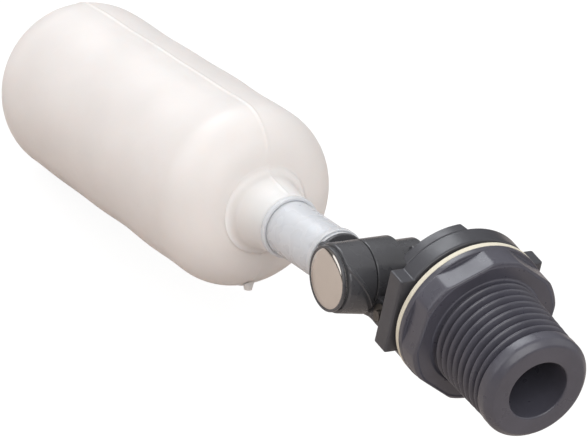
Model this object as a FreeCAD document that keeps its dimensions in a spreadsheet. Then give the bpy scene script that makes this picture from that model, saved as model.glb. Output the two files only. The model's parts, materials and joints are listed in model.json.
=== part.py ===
import FreeCAD, Part
import math
import os
from FreeCAD import Placement, Rotation, Vector

# Float valve for a tank: threaded inlet, flange and gasket outside the wall,
# lock nut, lever, adjustable knuckle, tube arm and hollow float inside it.
# Millimetres. +X runs into the tank, +Z is up, the origin is on the valve
# axis at the face of the gasket that seals on the tank wall.

doc = FreeCAD.newDocument("FloatValve")
sheet = doc.addObject("Spreadsheet::Sheet", "Sizes")

SIZES = [
    # inlet end of the body
    ("tip_face", -25.4), ("tip_face_radius", 9.24), ("tip_edge", -24.2),
    ("pilot_end", -21.9), ("pilot_radius", 10.35), ("root_tip_radius", 8.85),
    ("root_base_radius", 9.35), ("thread_pitch", 1.814), ("thread_profile", 1.02),
    ("inlet_helix_start", -23.0), ("inlet_helix_length", 17.2),
    ("inlet_helix_radius", 9.18), ("taper_angle", 1.79),
    ("inlet_bore_radius", 5.74), ("inlet_bore_end", -4.0),
    # flange, gasket and shank
    ("flange_front", -6.7), ("ledge_front", -2.26), ("flange_radius", 14.4),
    ("hexagon_corner_radius", 15.7), ("hexagon_turn", 5.2), ("gasket_thickness", 1.06),
    ("thread_fillet_radius", 11.3), ("thread_fillet_length", 0.45),
    ("shank_root_radius", 8.8),
    ("shank_end", 8.9), ("shank_helix_start", -1.9), ("shank_helix_length", 9.1),
    ("shank_helix_radius", 8.72), ("shank_profile", 0.95), ("gasket_bore_radius", 9.85),
    # nozzle and plunger chamber
    ("chamber_radius", 5.0), ("chamber_floor", -0.2), ("nozzle_flange_radius", 3.6),
    ("nozzle_tip_radius", 2.3), ("nozzle_tip", 0.9), ("orifice_radius", 1.6),
    ("ring_bore_radius", 2.9), ("ring_section", 0.6), ("ring_place", -2.4),
    ("seal_face", 2.85), ("seal_radius", 3.2), ("seal_back", 4.5),
    ("plunger_front", 2.95), ("plunger_radius", 4.8), ("plunger_flat", 4.0),
    ("plunger_shoulder", 8.0), ("stem_radius", 2.0), ("stem_end", 10.2),
    # clevis ears, pivot pin and clip
    ("pivot_forward", 11.3), ("pivot_height", -7.0), ("ear_inside", 1.9),
    ("ear_outside", 4.1), ("ear_radius", 2.3), ("envelope_radius", 9.65),
    ("pivot_radius", 1.0), ("pivot_head_radius", 1.7), ("pivot_head_outside", 4.9),
    ("pivot_head_inside", 4.2), ("pivot_end", 10.8), ("clip_radius", 2.1),
    ("clip_inside", 9.7), ("clip_thickness", 0.35), ("groove_radius", 0.75),
    ("hub_bore_radius", 1.06), ("hub_radius", 1.9),
    # lock nut
    ("nut_front", 1.0), ("lug_back", 5.0), ("nut_back", 7.2), ("nut_radius", 14.2),
    ("crown_radius", 13.9), ("nut_bore_radius", 9.85), ("lug_face", 14.7),
    ("lug_half_height", 7.5), ("crown_from", 35.0), ("crown_span", 55.0),
    ("nut_recess_radius", 11.2), ("nut_recess_floor", 5.6),
    # lever: the inner half of the knuckle
    ("knuckle_forward", 19.81), ("knuckle_height", -3.84), ("barrel_radius", 6.3),
    ("plate_half", 1.6), ("nose_forward", 12.0), ("nose_radius", 1.5),
    ("boss_radius", 5.3), ("barrel_start", 3.7), ("inner_face", 9.95),
    ("tooth_rise", 0.35), ("tooth_inside", 2.9), ("tooth_length", 2.3),
    ("tooth_width", 0.4), ("tooth_pocket_radius", 5.3), ("side_arm_inside", 6.9),
    ("side_arm_outside", 9.6), ("side_arm_radius", 3.0), ("hexagon_pocket_floor", 0.9),
    ("hexagon_pocket_radius", 4.15),
    # clamp screw, nut and washers
    ("screw_radius", 2.0), ("screw_bore_radius", 2.06), ("screw_end", -3.4),
    ("head_underside", 16.35), ("head_rim", 16.9), ("head_radius", 6.0),
    ("head_crown", 17.9), ("washer_front", 16.0), ("washer_radius", 5.5),
    ("clamp_nut_corner_radius", 4.04), ("clamp_nut_bottom", 0.25),
    ("clamp_nut_top", -2.75), ("lock_washer_radius", 3.9), ("lock_washer_seat", 0.9),
    # arm knuckle: the outer half
    ("outer_face", 10.15), ("outer_end", 15.95), ("arm_side", 10.19), ("arm_droop", 12.85),
    ("shoulder_radius", 5.25), ("shoulder_start", 6.5), ("shoulder_end", 7.3),
    ("spigot_radius", 4.1), ("spigot_end", 17.6), ("spigot_bore_radius", 2.6),
    ("spigot_bore_start", 9.0), ("bridge_half_height", 4.2), ("flare_radius", 7.2),
    ("rib_rise", 0.4), ("rib_width", 0.9), ("overlap", 0.6), ("spigot_chamfer", 0.8),
    ("lever_top", 2.4), ("lever_low", -9.9), ("side_arm_low", -11.0),
    # tube, collars and float
    ("tube_radius", 5.18), ("tube_bore_radius", 4.15), ("tube_start", 7.35),
    ("tube_end", 46.0), ("tube_collar_radius", 5.6), ("tube_collar_length", 1.3),
    ("neck_start", 25.1), ("neck_radius", 5.9), ("neck_root", 35.0),
    ("neck_root_radius", 8.4), ("float_radius", 17.55), ("float_far_radius", 16.88),
    ("near_corner", 9.21), ("far_corner", 12.3), ("float_near", 42.79),
    ("float_far", 101.24), ("float_wall", 1.2), ("neck_collar_start", 24.1),
    ("neck_collar_end", 25.1), ("neck_collar_radius", 5.9), ("seam_rise", 0.18), ("seam_width", 0.7),
    ("plug_place", 37.3), ("plug_height", -15.6), ("plug_radius", 1.25),
]
for row, (name, value) in enumerate(SIZES, start=1):
    sheet.set("A%d" % row, name)
    sheet.set("B%d" % row, str(value))
    sheet.setAlias("B%d" % row, name)
doc.recompute()

SIZE = dict(SIZES)
TURN = {"X": Rotation(Vector(0, 1, 0), 90), "Y": Rotation(Vector(1, 0, 0), -90),
        "Z": Rotation()}


def sized(text):
    """Turn words such as tube_radius - wall into an expression on the sheet."""
    out = ""
    word = ""
    for letter in text + " ":
        if letter.isalnum() or letter in "_.":
            word += letter
            continue
        if word in SIZE:
            word = "Sizes." + word
        out += word + letter
        word = ""
    return out.strip()


def bind(obj, prop, text):
    """Bind one property to an expression written in sheet words."""
    obj.setExpression(prop, sized(text))


def put(obj, direction, start, across):
    """Point a primitive along a row axis and bind where it starts."""
    obj.Placement = Placement(Vector(), TURN[direction])
    order = {"X": (start, across[0], across[1]), "Y": (across[0], start, across[1]),
             "Z": (across[0], across[1], start)}[direction]
    for letter, text in zip("xyz", order):
        bind(obj, "Placement.Base." + letter, text)


def rod(name, direction, start, end, radius, across=("0", "0")):
    """A solid cylinder between two stations of one axis."""
    obj = doc.addObject("Part::Cylinder", name)
    bind(obj, "Radius", radius)
    bind(obj, "Height", "(%s) - (%s)" % (end, start))
    put(obj, direction, start, across)
    return obj


def cone(name, direction, start, end, radius_start, radius_end, across=("0", "0")):
    """A solid cone between two stations of one axis."""
    obj = doc.addObject("Part::Cone", name)
    bind(obj, "Radius1", radius_start)
    bind(obj, "Radius2", radius_end)
    bind(obj, "Height", "(%s) - (%s)" % (end, start))
    put(obj, direction, start, across)
    return obj


def ring(name, direction, place, big, small, across=("0", "0")):
    """A torus centred on a station of one axis."""
    obj = doc.addObject("Part::Torus", name)
    bind(obj, "Radius1", big)
    bind(obj, "Radius2", small)
    put(obj, direction, place, across)
    return obj


def block(name, low, high):
    """A box between two corners."""
    obj = doc.addObject("Part::Box", name)
    for prop, letter, start, end in zip(("Length", "Width", "Height"), "xyz", low, high):
        bind(obj, prop, "(%s) - (%s)" % (end, start))
        bind(obj, "Placement.Base." + letter, start)
    return obj


def hexagon(name, direction, start, end, corner_radius, turn, across=("0", "0")):
    """A six-sided prism along one axis, turned about it by an angle."""
    obj = doc.addObject("Part::Prism", name)
    obj.Polygon = 6
    bind(obj, "Circumradius", corner_radius)
    bind(obj, "Height", "(%s) - (%s)" % (end, start))
    put(obj, direction, start, across)
    obj.Placement = Placement(obj.Placement.Base, TURN[direction] * Rotation(Vector(0, 0, 1), turn))
    return obj


def fuse(name, shapes):
    obj = doc.addObject("Part::MultiFuse", name)
    obj.Shapes = shapes
    obj.Refine = True
    return obj


def join(name, shapes):
    """Fuse solids one after another, which suits the wound threads."""
    whole = shapes[0]
    for i, shape in enumerate(shapes[1:], start=1):
        step = doc.addObject("Part::Fuse", "%s_%d" % (name, i))
        step.Base = whole
        step.Tool = shape
        whole = step
    return whole


def trim(name, base, tools):
    """Cut solids away one after another."""
    whole = base
    for i, tool in enumerate(tools, start=1):
        step = doc.addObject("Part::Cut", "%s_%d" % (name, i))
        step.Base = whole
        step.Tool = tool
        whole = step
    return whole


def common(name, shapes):
    obj = doc.addObject("Part::MultiCommon", name)
    obj.Shapes = shapes
    return obj


def cut(name, base, tools):
    tool = tools[0] if len(tools) == 1 else fuse(name + "_tools", tools)
    obj = doc.addObject("Part::Cut", name)
    obj.Base = base
    obj.Tool = tool
    return obj


def helix_ridge(name, start, length, radius, profile, taper):
    """A ridge of triangular section wound along +X, its base buried in the core."""
    spine = doc.addObject("Part::Helix", name + "_spine")
    bind(spine, "Pitch", "thread_pitch")
    bind(spine, "Height", length)
    bind(spine, "Radius", radius)
    bind(spine, "Angle", taper)
    put(spine, "X", start, ("0", "0"))
    section = doc.addObject("Part::RegularPolygon", name + "_section")
    section.Polygon = 3
    bind(section, "Circumradius", profile)
    flat = Rotation(Vector(1, 0, 0), 90)
    section.Placement = Placement(Vector(), TURN["X"] * flat)
    bind(section, "Placement.Base.x", start)
    bind(section, "Placement.Base.z", "-(%s)" % radius)
    sweep = doc.addObject("Part::Sweep", name)
    sweep.Sections = [section]
    sweep.Spine = (spine, ["Edge1"])
    sweep.Solid = True
    sweep.Frenet = True
    return sweep


def turned(name, points):
    """A body of revolution about X from a closed profile of (station, radius)."""
    body = doc.addObject("PartDesign::Body", name)
    sketch = body.newObject("Sketcher::SketchObject", name + "_profile")
    plane = [f for f in body.Origin.OriginFeatures if f.Role == "XZ_Plane"][0]
    sketch.AttachmentSupport = [(plane, "")]
    sketch.MapMode = "FlatFace"
    values = [(number(a), number(b)) for a, b in points]
    draw(sketch, points, values)
    solid = body.newObject("PartDesign::Revolution", name + "_turned")
    solid.Profile = sketch
    solid.ReferenceAxis = (sketch, ["H_Axis"])
    solid.Angle = 360
    body.Tip = solid
    return body


def number(text):
    """The value of an expression in sheet words, for drawing a sketch."""
    total = 0.0
    sign = 1.0
    for word in text.replace("(", " ").replace(")", " ").split():
        if word in "+-":
            sign = -1.0 if word == "-" else 1.0
            continue
        negative = word.startswith("-") and word[1:] in SIZE
        value = -SIZE[word[1:]] if negative else SIZE[word] if word in SIZE else float(word)
        total += sign * value
        sign = 1.0
    return total


def draw(sketch, points, values):
    """Draw a closed polygon and bind every corner to the sheet."""
    import Sketcher
    count = len(points)
    for i in range(count):
        x0, y0 = values[i]
        x1, y1 = values[(i + 1) % count]
        sketch.addGeometry(Part.LineSegment(Vector(x0, y0, 0), Vector(x1, y1, 0)))
    for i in range(count):
        sketch.addConstraint(Sketcher.Constraint("Coincident", i, 2, (i + 1) % count, 1))
    for i, (text_x, text_y) in enumerate(points):
        for kind, text, value in (("DistanceX", text_x, values[i][0]),
                                  ("DistanceY", text_y, values[i][1])):
            index = sketch.addConstraint(Sketcher.Constraint(kind, -1, 1, i, 1, value))
            sketch.renameConstraint(index, "%s_%d" % (kind, i))
            sketch.setExpression("Constraints.%s_%d" % (kind, i), sized(text))


def plate(name, points, low, high):
    """A flat plate drawn in the XZ plane, between two stations of Y."""
    body = doc.addObject("PartDesign::Body", name)
    sketch = body.newObject("Sketcher::SketchObject", name + "_outline")
    plane = [f for f in body.Origin.OriginFeatures if f.Role == "XZ_Plane"][0]
    sketch.AttachmentSupport = [(plane, "")]
    sketch.MapMode = "FlatFace"
    draw(sketch, points, [(number(a), number(b)) for a, b in points])
    solid = body.newObject("PartDesign::Pad", name + "_pad")
    solid.Profile = sketch
    bind(solid, "Length", "(%s) - (%s)" % (high, low))
    # the sketch normal is -Y, so the pad starts at the high side
    bind(sketch, "AttachmentOffset.Base.z", "-(%s)" % high)
    body.Tip = solid
    return body


def teeth(name, face, rise, across):
    """Radial ridges on one knuckle face, as a list of boxes."""
    made = []
    for i in range(24):
        box = doc.addObject("Part::Box", "%s_%02d" % (name, i))
        bind(box, "Length", "tooth_length")
        bind(box, "Width", rise)
        bind(box, "Height", "tooth_width")
        angle = i * 15.0
        rad = math.radians(angle)
        box.Placement = Placement(Vector(), Rotation(Vector(0, 1, 0), -angle))
        lift = "tooth_width / 2"
        bind(box, "Placement.Base.x", "%s + tooth_inside * %.5f + %s * %.5f"
             % (across[0], math.cos(rad), lift, math.sin(rad)))
        bind(box, "Placement.Base.y", face)
        bind(box, "Placement.Base.z", "%s + tooth_inside * %.5f - %s * %.5f"
             % (across[1], math.sin(rad), lift, math.cos(rad)))
        made.append(box)
    return made


NODES = {}


def node(name, obj):
    obj.Label = name
    NODES[name] = obj
    return obj


# ---------------------------------------------------------------- valve body
inlet = [
    cone("inlet_root", "X", "pilot_end - 0.5", "flange_front + 0.5", "root_tip_radius",
         "root_base_radius"),
    helix_ridge("inlet_thread", "inlet_helix_start", "inlet_helix_length",
                "inlet_helix_radius", "thread_profile", "taper_angle"),
    rod("inlet_pilot", "X", "tip_edge", "pilot_end", "pilot_radius"),
    cone("inlet_tip", "X", "tip_face", "tip_edge", "tip_face_radius", "pilot_radius"),
    cone("thread_fillet", "X", "flange_front - thread_fillet_length", "flange_front",
         "root_base_radius + 0.4", "thread_fillet_radius"),
]
flange_hexagon = common("flange_hexagon", [
    hexagon("flange_prism", "X", "flange_front", "ledge_front", "hexagon_corner_radius",
            SIZE["hexagon_turn"]),
    rod("flange_round", "X", "flange_front", "ledge_front", "flange_radius"),
    cone("flange_bevel", "X", "flange_front", "ledge_front", "flange_radius - 0.35",
         "flange_radius + 4.4"),
])
outside = [
    flange_hexagon,
    rod("flange_ledge", "X", "ledge_front", "-gasket_thickness", "flange_radius"),
    rod("shank_root", "X", "ledge_front", "shank_end", "shank_root_radius"),
    helix_ridge("shank_thread", "shank_helix_start", "shank_helix_length",
                "shank_helix_radius", "shank_profile", "0"),
]
ears = common("ears", [
    fuse("ear_pair", [
        block("ear_left", ("shank_end - 1", "ear_inside", "pivot_height - ear_radius"),
              ("pivot_forward", "ear_outside", "pivot_height + ear_radius")),
        block("ear_right", ("shank_end - 1", "-ear_outside", "pivot_height - ear_radius"),
              ("pivot_forward", "-ear_inside", "pivot_height + ear_radius")),
        rod("ear_left_end", "Y", "ear_inside", "ear_outside", "ear_radius",
            ("pivot_forward", "pivot_height")),
        rod("ear_right_end", "Y", "-ear_outside", "-ear_inside", "ear_radius",
            ("pivot_forward", "pivot_height")),
    ]),
    rod("ear_envelope", "X", "0", "pivot_forward + 5", "envelope_radius"),
])
body_shell = join("body_shell", inlet + outside + [ears])
node("valve_body", trim("valve_body_cut", body_shell, [
    rod("inlet_bore", "X", "tip_face - 1", "inlet_bore_end", "inlet_bore_radius"),
    rod("nozzle_bore", "X", "inlet_bore_end - 1", "chamber_floor + 1",
        "nozzle_flange_radius"),
    rod("chamber", "X", "chamber_floor", "shank_end + 1", "chamber_radius"),
    rod("ear_bore", "Y", "-ear_outside - 1", "ear_outside + 1", "pivot_radius",
        ("pivot_forward", "pivot_height")),
]))

# ---------------------------------------------------------------- gasket, nozzle
node("bulkhead_gasket", turned("gasket", [
    ("-gasket_thickness", "gasket_bore_radius"), ("0", "gasket_bore_radius"),
    ("0", "flange_radius"), ("-gasket_thickness", "flange_radius"),
]))
node("nozzle_seat", turned("nozzle", [
    ("inlet_bore_end", "orifice_radius"), ("nozzle_tip", "orifice_radius"),
    ("nozzle_tip", "nozzle_tip_radius - 0.4"), ("nozzle_tip - 0.5", "nozzle_tip_radius"),
    ("chamber_floor", "nozzle_tip_radius"), ("chamber_floor", "nozzle_flange_radius"),
    ("ring_place + ring_section", "nozzle_flange_radius"),
    ("ring_place + ring_section", "ring_bore_radius - ring_section"),
    ("ring_place - ring_section", "ring_bore_radius - ring_section"),
    ("ring_place - ring_section", "nozzle_flange_radius"),
    ("inlet_bore_end", "nozzle_flange_radius"),
]))
node("nozzle_ring", ring("nozzle_ring_torus", "X", "ring_place", "ring_bore_radius",
                         "ring_section"))

# ---------------------------------------------------------------- plunger
plunger_block = common("plunger_block", [
    rod("plunger_round", "X", "plunger_front", "plunger_shoulder", "plunger_radius"),
    block("plunger_square", ("plunger_front", "-plunger_flat", "-plunger_flat"),
          ("plunger_shoulder", "plunger_flat", "plunger_flat")),
])
node("plunger", cut("plunger_cut", fuse("plunger_solid", [
    plunger_block,
    rod("plunger_stem", "X", "plunger_shoulder - 1", "stem_end - 0.5", "stem_radius"),
    cone("plunger_stem_end", "X", "stem_end - 0.5", "stem_end", "stem_radius",
         "stem_radius - 0.5"),
]), [rod("seal_pocket", "X", "plunger_front - 1", "seal_back", "seal_radius")]))
node("seal_disc", rod("seal", "X", "seal_face", "seal_back", "seal_radius"))

# ---------------------------------------------------------------- pivot pin and clip
pivot_at = ("pivot_forward", "pivot_height")
node("pivot_pin", cut("pivot_pin_cut", fuse("pivot_pin_solid", [
    rod("pivot_shank", "Y", "-pivot_head_outside", "pivot_end", "pivot_radius", pivot_at),
    rod("pivot_head", "Y", "-pivot_head_outside", "-pivot_head_inside",
        "pivot_head_radius", pivot_at),
]), [cut("pivot_groove", rod("pivot_groove_out", "Y", "clip_inside",
                             "clip_inside + clip_thickness", "pivot_radius + 1", pivot_at),
         [rod("pivot_groove_in", "Y", "clip_inside - 1", "clip_inside + clip_thickness + 1",
              "groove_radius", pivot_at)])]))
node("pivot_clip", cut("pivot_clip_cut", rod("clip_disc", "Y", "clip_inside",
                                             "clip_inside + clip_thickness", "clip_radius",
                                             pivot_at), [
    rod("clip_bore", "Y", "clip_inside - 1", "clip_inside + clip_thickness + 1",
        "groove_radius", pivot_at),
    block("clip_mouth", ("pivot_forward - groove_radius", "clip_inside - 1",
                         "pivot_height - clip_radius - 1"),
          ("pivot_forward + groove_radius", "clip_inside + clip_thickness + 1",
           "pivot_height")),
]))

# ---------------------------------------------------------------- lock nut
def crown_part(name, turn):
    """A raised arc of the nut's rear edge; turn is its start from +Y towards +Z."""
    arc = rod(name, "X", "lug_back - 1", "nut_back", "crown_radius")
    bind(arc, "Angle", "crown_span")
    arc.Placement = Placement(arc.Placement.Base,
                              TURN["X"] * Rotation(Vector(0, 0, 1), 90 + turn))
    return arc


nut_solid = join("nut_solid", [
    block("nut_lug_bar", ("nut_front", "-lug_face", "-lug_half_height"),
          ("lug_back", "lug_face", "lug_half_height")),
    rod("nut_ring", "X", "nut_front", "lug_back", "nut_radius"),
    crown_part("nut_crown_upper", SIZE["crown_from"]),
    crown_part("nut_crown_lower", SIZE["crown_from"] + 180),
])
node("lock_nut", trim("lock_nut_cut", nut_solid, [
    rod("nut_bore", "X", "nut_front - 1", "nut_back + 1", "nut_bore_radius"),
    rod("nut_recess", "X", "nut_recess_floor", "nut_back + 1", "nut_recess_radius"),
]))

# ---------------------------------------------------------------- lever
knuckle_at = ("knuckle_forward", "knuckle_height")
web = plate("lever_web", [
    ("pivot_forward - 1.5", "pivot_height + 0.9"), ("nose_forward - 1.15", "0.0"),
    ("nose_forward", "nose_radius"), ("knuckle_forward - 1", "lever_top"),
    ("knuckle_forward + 1", "lever_low"), ("pivot_forward + 0.6", "pivot_height - 1.8"),
], "-plate_half", "plate_half")
lever_solid = fuse("lever_solid", [
    web,
    rod("lever_hub", "Y", "-plate_half", "plate_half", "hub_radius", pivot_at),
    rod("lever_nose", "Y", "-plate_half", "plate_half", "nose_radius",
        ("nose_forward", "0")),
    rod("lever_boss", "Y", "-plate_half", "barrel_start + 0.5", "boss_radius", knuckle_at),
    cut("lever_barrel", rod("lever_barrel_solid", "Y", "barrel_start", "inner_face",
                            "barrel_radius", knuckle_at), [
        rod("lever_tooth_pocket", "Y", "inner_face - tooth_rise", "inner_face + 1",
            "tooth_pocket_radius", knuckle_at)]),
    plate("lever_side_arm", [
        ("knuckle_forward - 1.2", "knuckle_height - 1"), ("knuckle_forward + 1.5", "lever_low"),
        ("knuckle_forward - 2.2", "side_arm_low"), ("pivot_forward + 3.4", "side_arm_low + 1"),
        ("pivot_forward + 0.2", "pivot_height - 2.9"),
        ("pivot_forward - 1.1", "pivot_height + 2.7"),
    ], "side_arm_inside", "side_arm_outside"),
    rod("lever_side_eye", "Y", "side_arm_inside", "side_arm_outside", "side_arm_radius",
        pivot_at),
] + teeth("lever_tooth", "inner_face - tooth_rise", "tooth_rise", knuckle_at))
node("lever", trim("lever_cut", lever_solid, [
    rod("lever_pin_bore", "Y", "-plate_half - 1", "side_arm_outside + 1",
        "hub_bore_radius", pivot_at),
    rod("lever_screw_bore", "Y", "-plate_half - 1", "inner_face + 1", "screw_bore_radius",
        knuckle_at),
    hexagon("lever_pocket", "Y", "-plate_half - 1", "lock_washer_seat",
            "hexagon_pocket_radius", 0, knuckle_at),
]))

# ---------------------------------------------------------------- clamp screw set
dome = doc.addObject("Part::Sphere", "head_sphere")
bind(dome, "Radius", "(head_radius * head_radius + (head_crown - head_rim) * "
                     "(head_crown - head_rim)) / (2 * (head_crown - head_rim))")
bind(dome, "Placement.Base.x", "knuckle_forward")
bind(dome, "Placement.Base.y", "head_crown - (head_radius * head_radius + "
                               "(head_crown - head_rim) * (head_crown - head_rim)) / "
                               "(2 * (head_crown - head_rim))")
bind(dome, "Placement.Base.z", "knuckle_height")
node("clamp_screw", fuse("clamp_screw_solid", [
    rod("screw_shank", "Y", "screw_end", "head_underside + 0.2", "screw_radius", knuckle_at),
    rod("screw_rim", "Y", "head_underside", "head_rim", "head_radius", knuckle_at),
    common("screw_dome", [dome, rod("dome_limit", "Y", "head_rim - 0.1", "head_crown + 1",
                                    "head_radius", knuckle_at)]),
]))
node("clamp_washer", cut("clamp_washer_cut", rod("washer_disc", "Y", "washer_front",
                                                 "head_underside", "washer_radius",
                                                 knuckle_at), [
    rod("washer_bore", "Y", "washer_front - 1", "head_underside + 1", "screw_radius",
        knuckle_at)]))
node("clamp_nut", cut("clamp_nut_cut", hexagon("clamp_nut_prism", "Y", "clamp_nut_top",
                                               "clamp_nut_bottom",
                                               "clamp_nut_corner_radius", 0, knuckle_at), [
    rod("clamp_nut_bore", "Y", "clamp_nut_top - 1", "clamp_nut_bottom + 1", "screw_radius",
        knuckle_at)]))
node("lock_washer", cut("lock_washer_cut", rod("lock_washer_disc", "Y", "clamp_nut_bottom",
                                               "lock_washer_seat", "lock_washer_radius - 0.5",
                                               knuckle_at), [
    rod("lock_washer_bore", "Y", "clamp_nut_bottom - 1", "lock_washer_seat + 1",
        "screw_radius", knuckle_at),
    block("lock_washer_split", ("knuckle_forward - 0.25", "clamp_nut_bottom - 1",
                                "knuckle_height"),
          ("knuckle_forward + 0.25", "lock_washer_seat + 1",
           "knuckle_height + lock_washer_radius"))]))

# ---------------------------------------------------------------- arm and float
# drawn along +X from the knuckle axis, then lowered by the droop angle
here = ("0", "0")
along = ("arm_side", "0")
# a slanted rib crosses the outer half; below it the barrel flares towards the lever
rib_start = Vector(-4.645, 15.63, 4.256)
rib_line = Vector(-0.2338, -0.6208, -0.7483)
rib_outward = Vector(-0.955, 0.0, 0.297)
rib_turn = Rotation(rib_line, Vector(), rib_outward, "XZY")


def below_rib(name, low, high):
    """A long box beside the rib's line, between two offsets across it."""
    box = doc.addObject("Part::Box", name)
    bind(box, "Length", "barrel_radius * 6")
    bind(box, "Width", "(%s) - (%s)" % (high, low))
    bind(box, "Height", "barrel_radius * 3")
    across = rib_outward.cross(rib_line)
    shift = across * number(low) - rib_line * SIZE["barrel_radius"] * 3
    box.Placement = Placement(rib_start + shift - rib_outward * SIZE["barrel_radius"], rib_turn)
    return box


barrel_half = cut("arm_barrel", rod("arm_barrel_solid", "Y", "outer_face", "outer_end",
                                    "barrel_radius", here), [
    rod("arm_tooth_pocket", "Y", "outer_face - 1", "outer_face + tooth_rise",
        "tooth_pocket_radius", here)])
flare = common("arm_flare", [
    cut("arm_flare_ring", cone("arm_flare_cone", "Y", "outer_face", "outer_end",
                               "flare_radius", "barrel_radius", here), [
        rod("arm_flare_hollow", "Y", "outer_face - 1", "outer_end + 1",
            "barrel_radius - overlap", here)]),
    below_rib("arm_flare_side", "0", "barrel_radius * 2"),
])
rib = common("arm_rib", [
    cut("arm_rib_ring", rod("arm_rib_outside", "Y", "outer_face", "outer_end",
                            "barrel_radius + rib_rise", here), [
        rod("arm_rib_hollow", "Y", "outer_face - 1", "outer_end + 1", "barrel_radius - overlap",
            here)]),
    below_rib("arm_rib_band", "0", "rib_width"),
])
knuckle_solid = join("arm_knuckle_solid", [
    fuse("arm_toothed_barrel", [barrel_half] + teeth("arm_tooth", "outer_face", "tooth_rise",
                                                     here)),
    flare, rib,
    block("arm_bridge", ("3.0", "outer_face + 0.1", "-bridge_half_height"),
          ("shoulder_end - 0.1", "outer_end - 1", "bridge_half_height")),
    rod("arm_shoulder", "X", "shoulder_start", "shoulder_end", "shoulder_radius", along),
    rod("arm_spigot", "X", "shoulder_start", "spigot_end - spigot_chamfer", "spigot_radius", along),
    cone("arm_spigot_end", "X", "spigot_end - spigot_chamfer", "spigot_end", "spigot_radius",
         "spigot_radius - overlap", along),
])
arm_knuckle = node("arm_knuckle", trim("arm_knuckle_cut", knuckle_solid, [
    rod("arm_screw_bore", "Y", "outer_face - 1", "outer_end + 1", "screw_bore_radius", here),
    rod("arm_spigot_bore", "X", "spigot_bore_start", "spigot_end + 1",
        "spigot_bore_radius", along),
]))
arm_tube = node("arm_tube", cut("arm_tube_cut", rod("tube_outside", "X", "tube_start",
                                                    "tube_end", "tube_radius", along), [
    rod("tube_inside", "X", "tube_start - 1", "tube_end + 1", "tube_bore_radius", along)]))
tube_collar = node("tube_collar", cut("tube_collar_cut", rod(
    "tube_collar_outside", "X", "tube_start + 0.6", "tube_start + 0.6 + tube_collar_length",
    "tube_collar_radius", along), [
    rod("tube_collar_inside", "X", "tube_start", "tube_start + 3", "tube_radius", along)]))
neck_collar = node("neck_collar", cut("neck_collar_cut", rod(
    "neck_collar_outside", "X", "neck_collar_start", "neck_collar_end",
    "neck_collar_radius", along), [
    rod("neck_collar_inside", "X", "neck_collar_start - 1", "neck_collar_end + 1",
        "tube_radius", along)]))


def rounded_end(name, place, side, radius, corner, grow):
    """A float end: frusta along a quarter circle; side is -1 at the near end, 1 at the far."""
    made = []
    pieces = 6
    for i in range(pieces):
        angles = (math.pi / 2 * i / pieces, math.pi / 2 * (i + 1) / pieces)
        station = ["%s + %d * (%s + %s) * %.6f" % (place, side, corner, grow, math.sin(a))
                   for a in angles]
        across = ["%s - %s + (%s + %s) * %.6f" % (radius, corner, corner, grow, math.cos(a))
                  for a in angles]
        if side < 0:
            station.reverse()
            across.reverse()
        made.append(cone("%s_%d" % (name, i), "X", station[0], station[1], across[0],
                         across[1], along))
    return made


def float_form(name, grow):
    """The float's closed outer form, grown or shrunk by an offset."""
    return fuse(name, [
        cone(name + "_wall", "X", "float_near", "float_far", "float_radius + %s" % grow,
             "float_far_radius + %s" % grow, along),
        cone(name + "_neck", "X", "neck_start", "neck_root", "neck_radius + %s" % grow,
             "neck_root_radius + %s" % grow, along),
    ] + rounded_end(name + "_near", "float_near", -1, "float_radius", "near_corner", grow)
        + rounded_end(name + "_far", "float_far", 1, "float_far_radius", "far_corner", grow))


seam = common("float_seam", [
    float_form("seam_form", "seam_rise"),
    block("seam_slab", ("neck_start", "arm_side - seam_width / 2", "-float_radius - 2"),
          ("float_far + 12", "arm_side + seam_width / 2", "float_radius + 2")),
])
float_shell = node("float_shell", cut("float_shell_cut", fuse("float_solid", [
    float_form("float_outside", "0"), seam]), [
    float_form("float_inside", "-float_wall"),
    rod("float_neck_bore", "X", "neck_start - 1", "neck_root + 1", "tube_radius", along),
]))
float_plug = node("float_plug", cut("float_plug_cut", cone(
    "plug_bead", "Z", "plug_height - plug_radius", "plug_height + plug_radius",
    "plug_radius * 0.6", "plug_radius", ("plug_place", "arm_side")), [
    float_form("plug_limit", "seam_rise")]))

droop = Rotation(Vector(0, 1, 0), SIZE["arm_droop"])
for obj in (arm_knuckle, arm_tube, tube_collar, neck_collar, float_shell, float_plug):
    obj.Placement = Placement(Vector(), droop)
    bind(obj, "Placement.Base.x", "knuckle_forward")
    bind(obj, "Placement.Base.z", "knuckle_height")

doc.recompute()
for obj in doc.Objects:
    if "Invalid" in obj.State or "Error" in obj.State:
        raise RuntimeError("feature failed: " + obj.Label)

os.makedirs("parts", exist_ok=True)
for name, obj in NODES.items():
    shape = obj.Shape
    if shape.isNull() or not shape.isValid() or not shape.Solids:
        raise RuntimeError("bad shape: " + name)
    shape.exportStep("parts/" + name + ".step")
    box = shape.BoundBox
    print("%-16s solids %d volume %9.1f  X %7.2f %7.2f  Y %7.2f %7.2f  Z %7.2f %7.2f" % (
        name, len(shape.Solids), shape.Volume, box.XMin, box.XMax, box.YMin, box.YMax,
        box.ZMin, box.ZMax))
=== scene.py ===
import json

import bpy
import numpy as np
from bpy.props import FloatProperty, FloatVectorProperty, PointerProperty
from mathutils import Matrix, Vector


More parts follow.
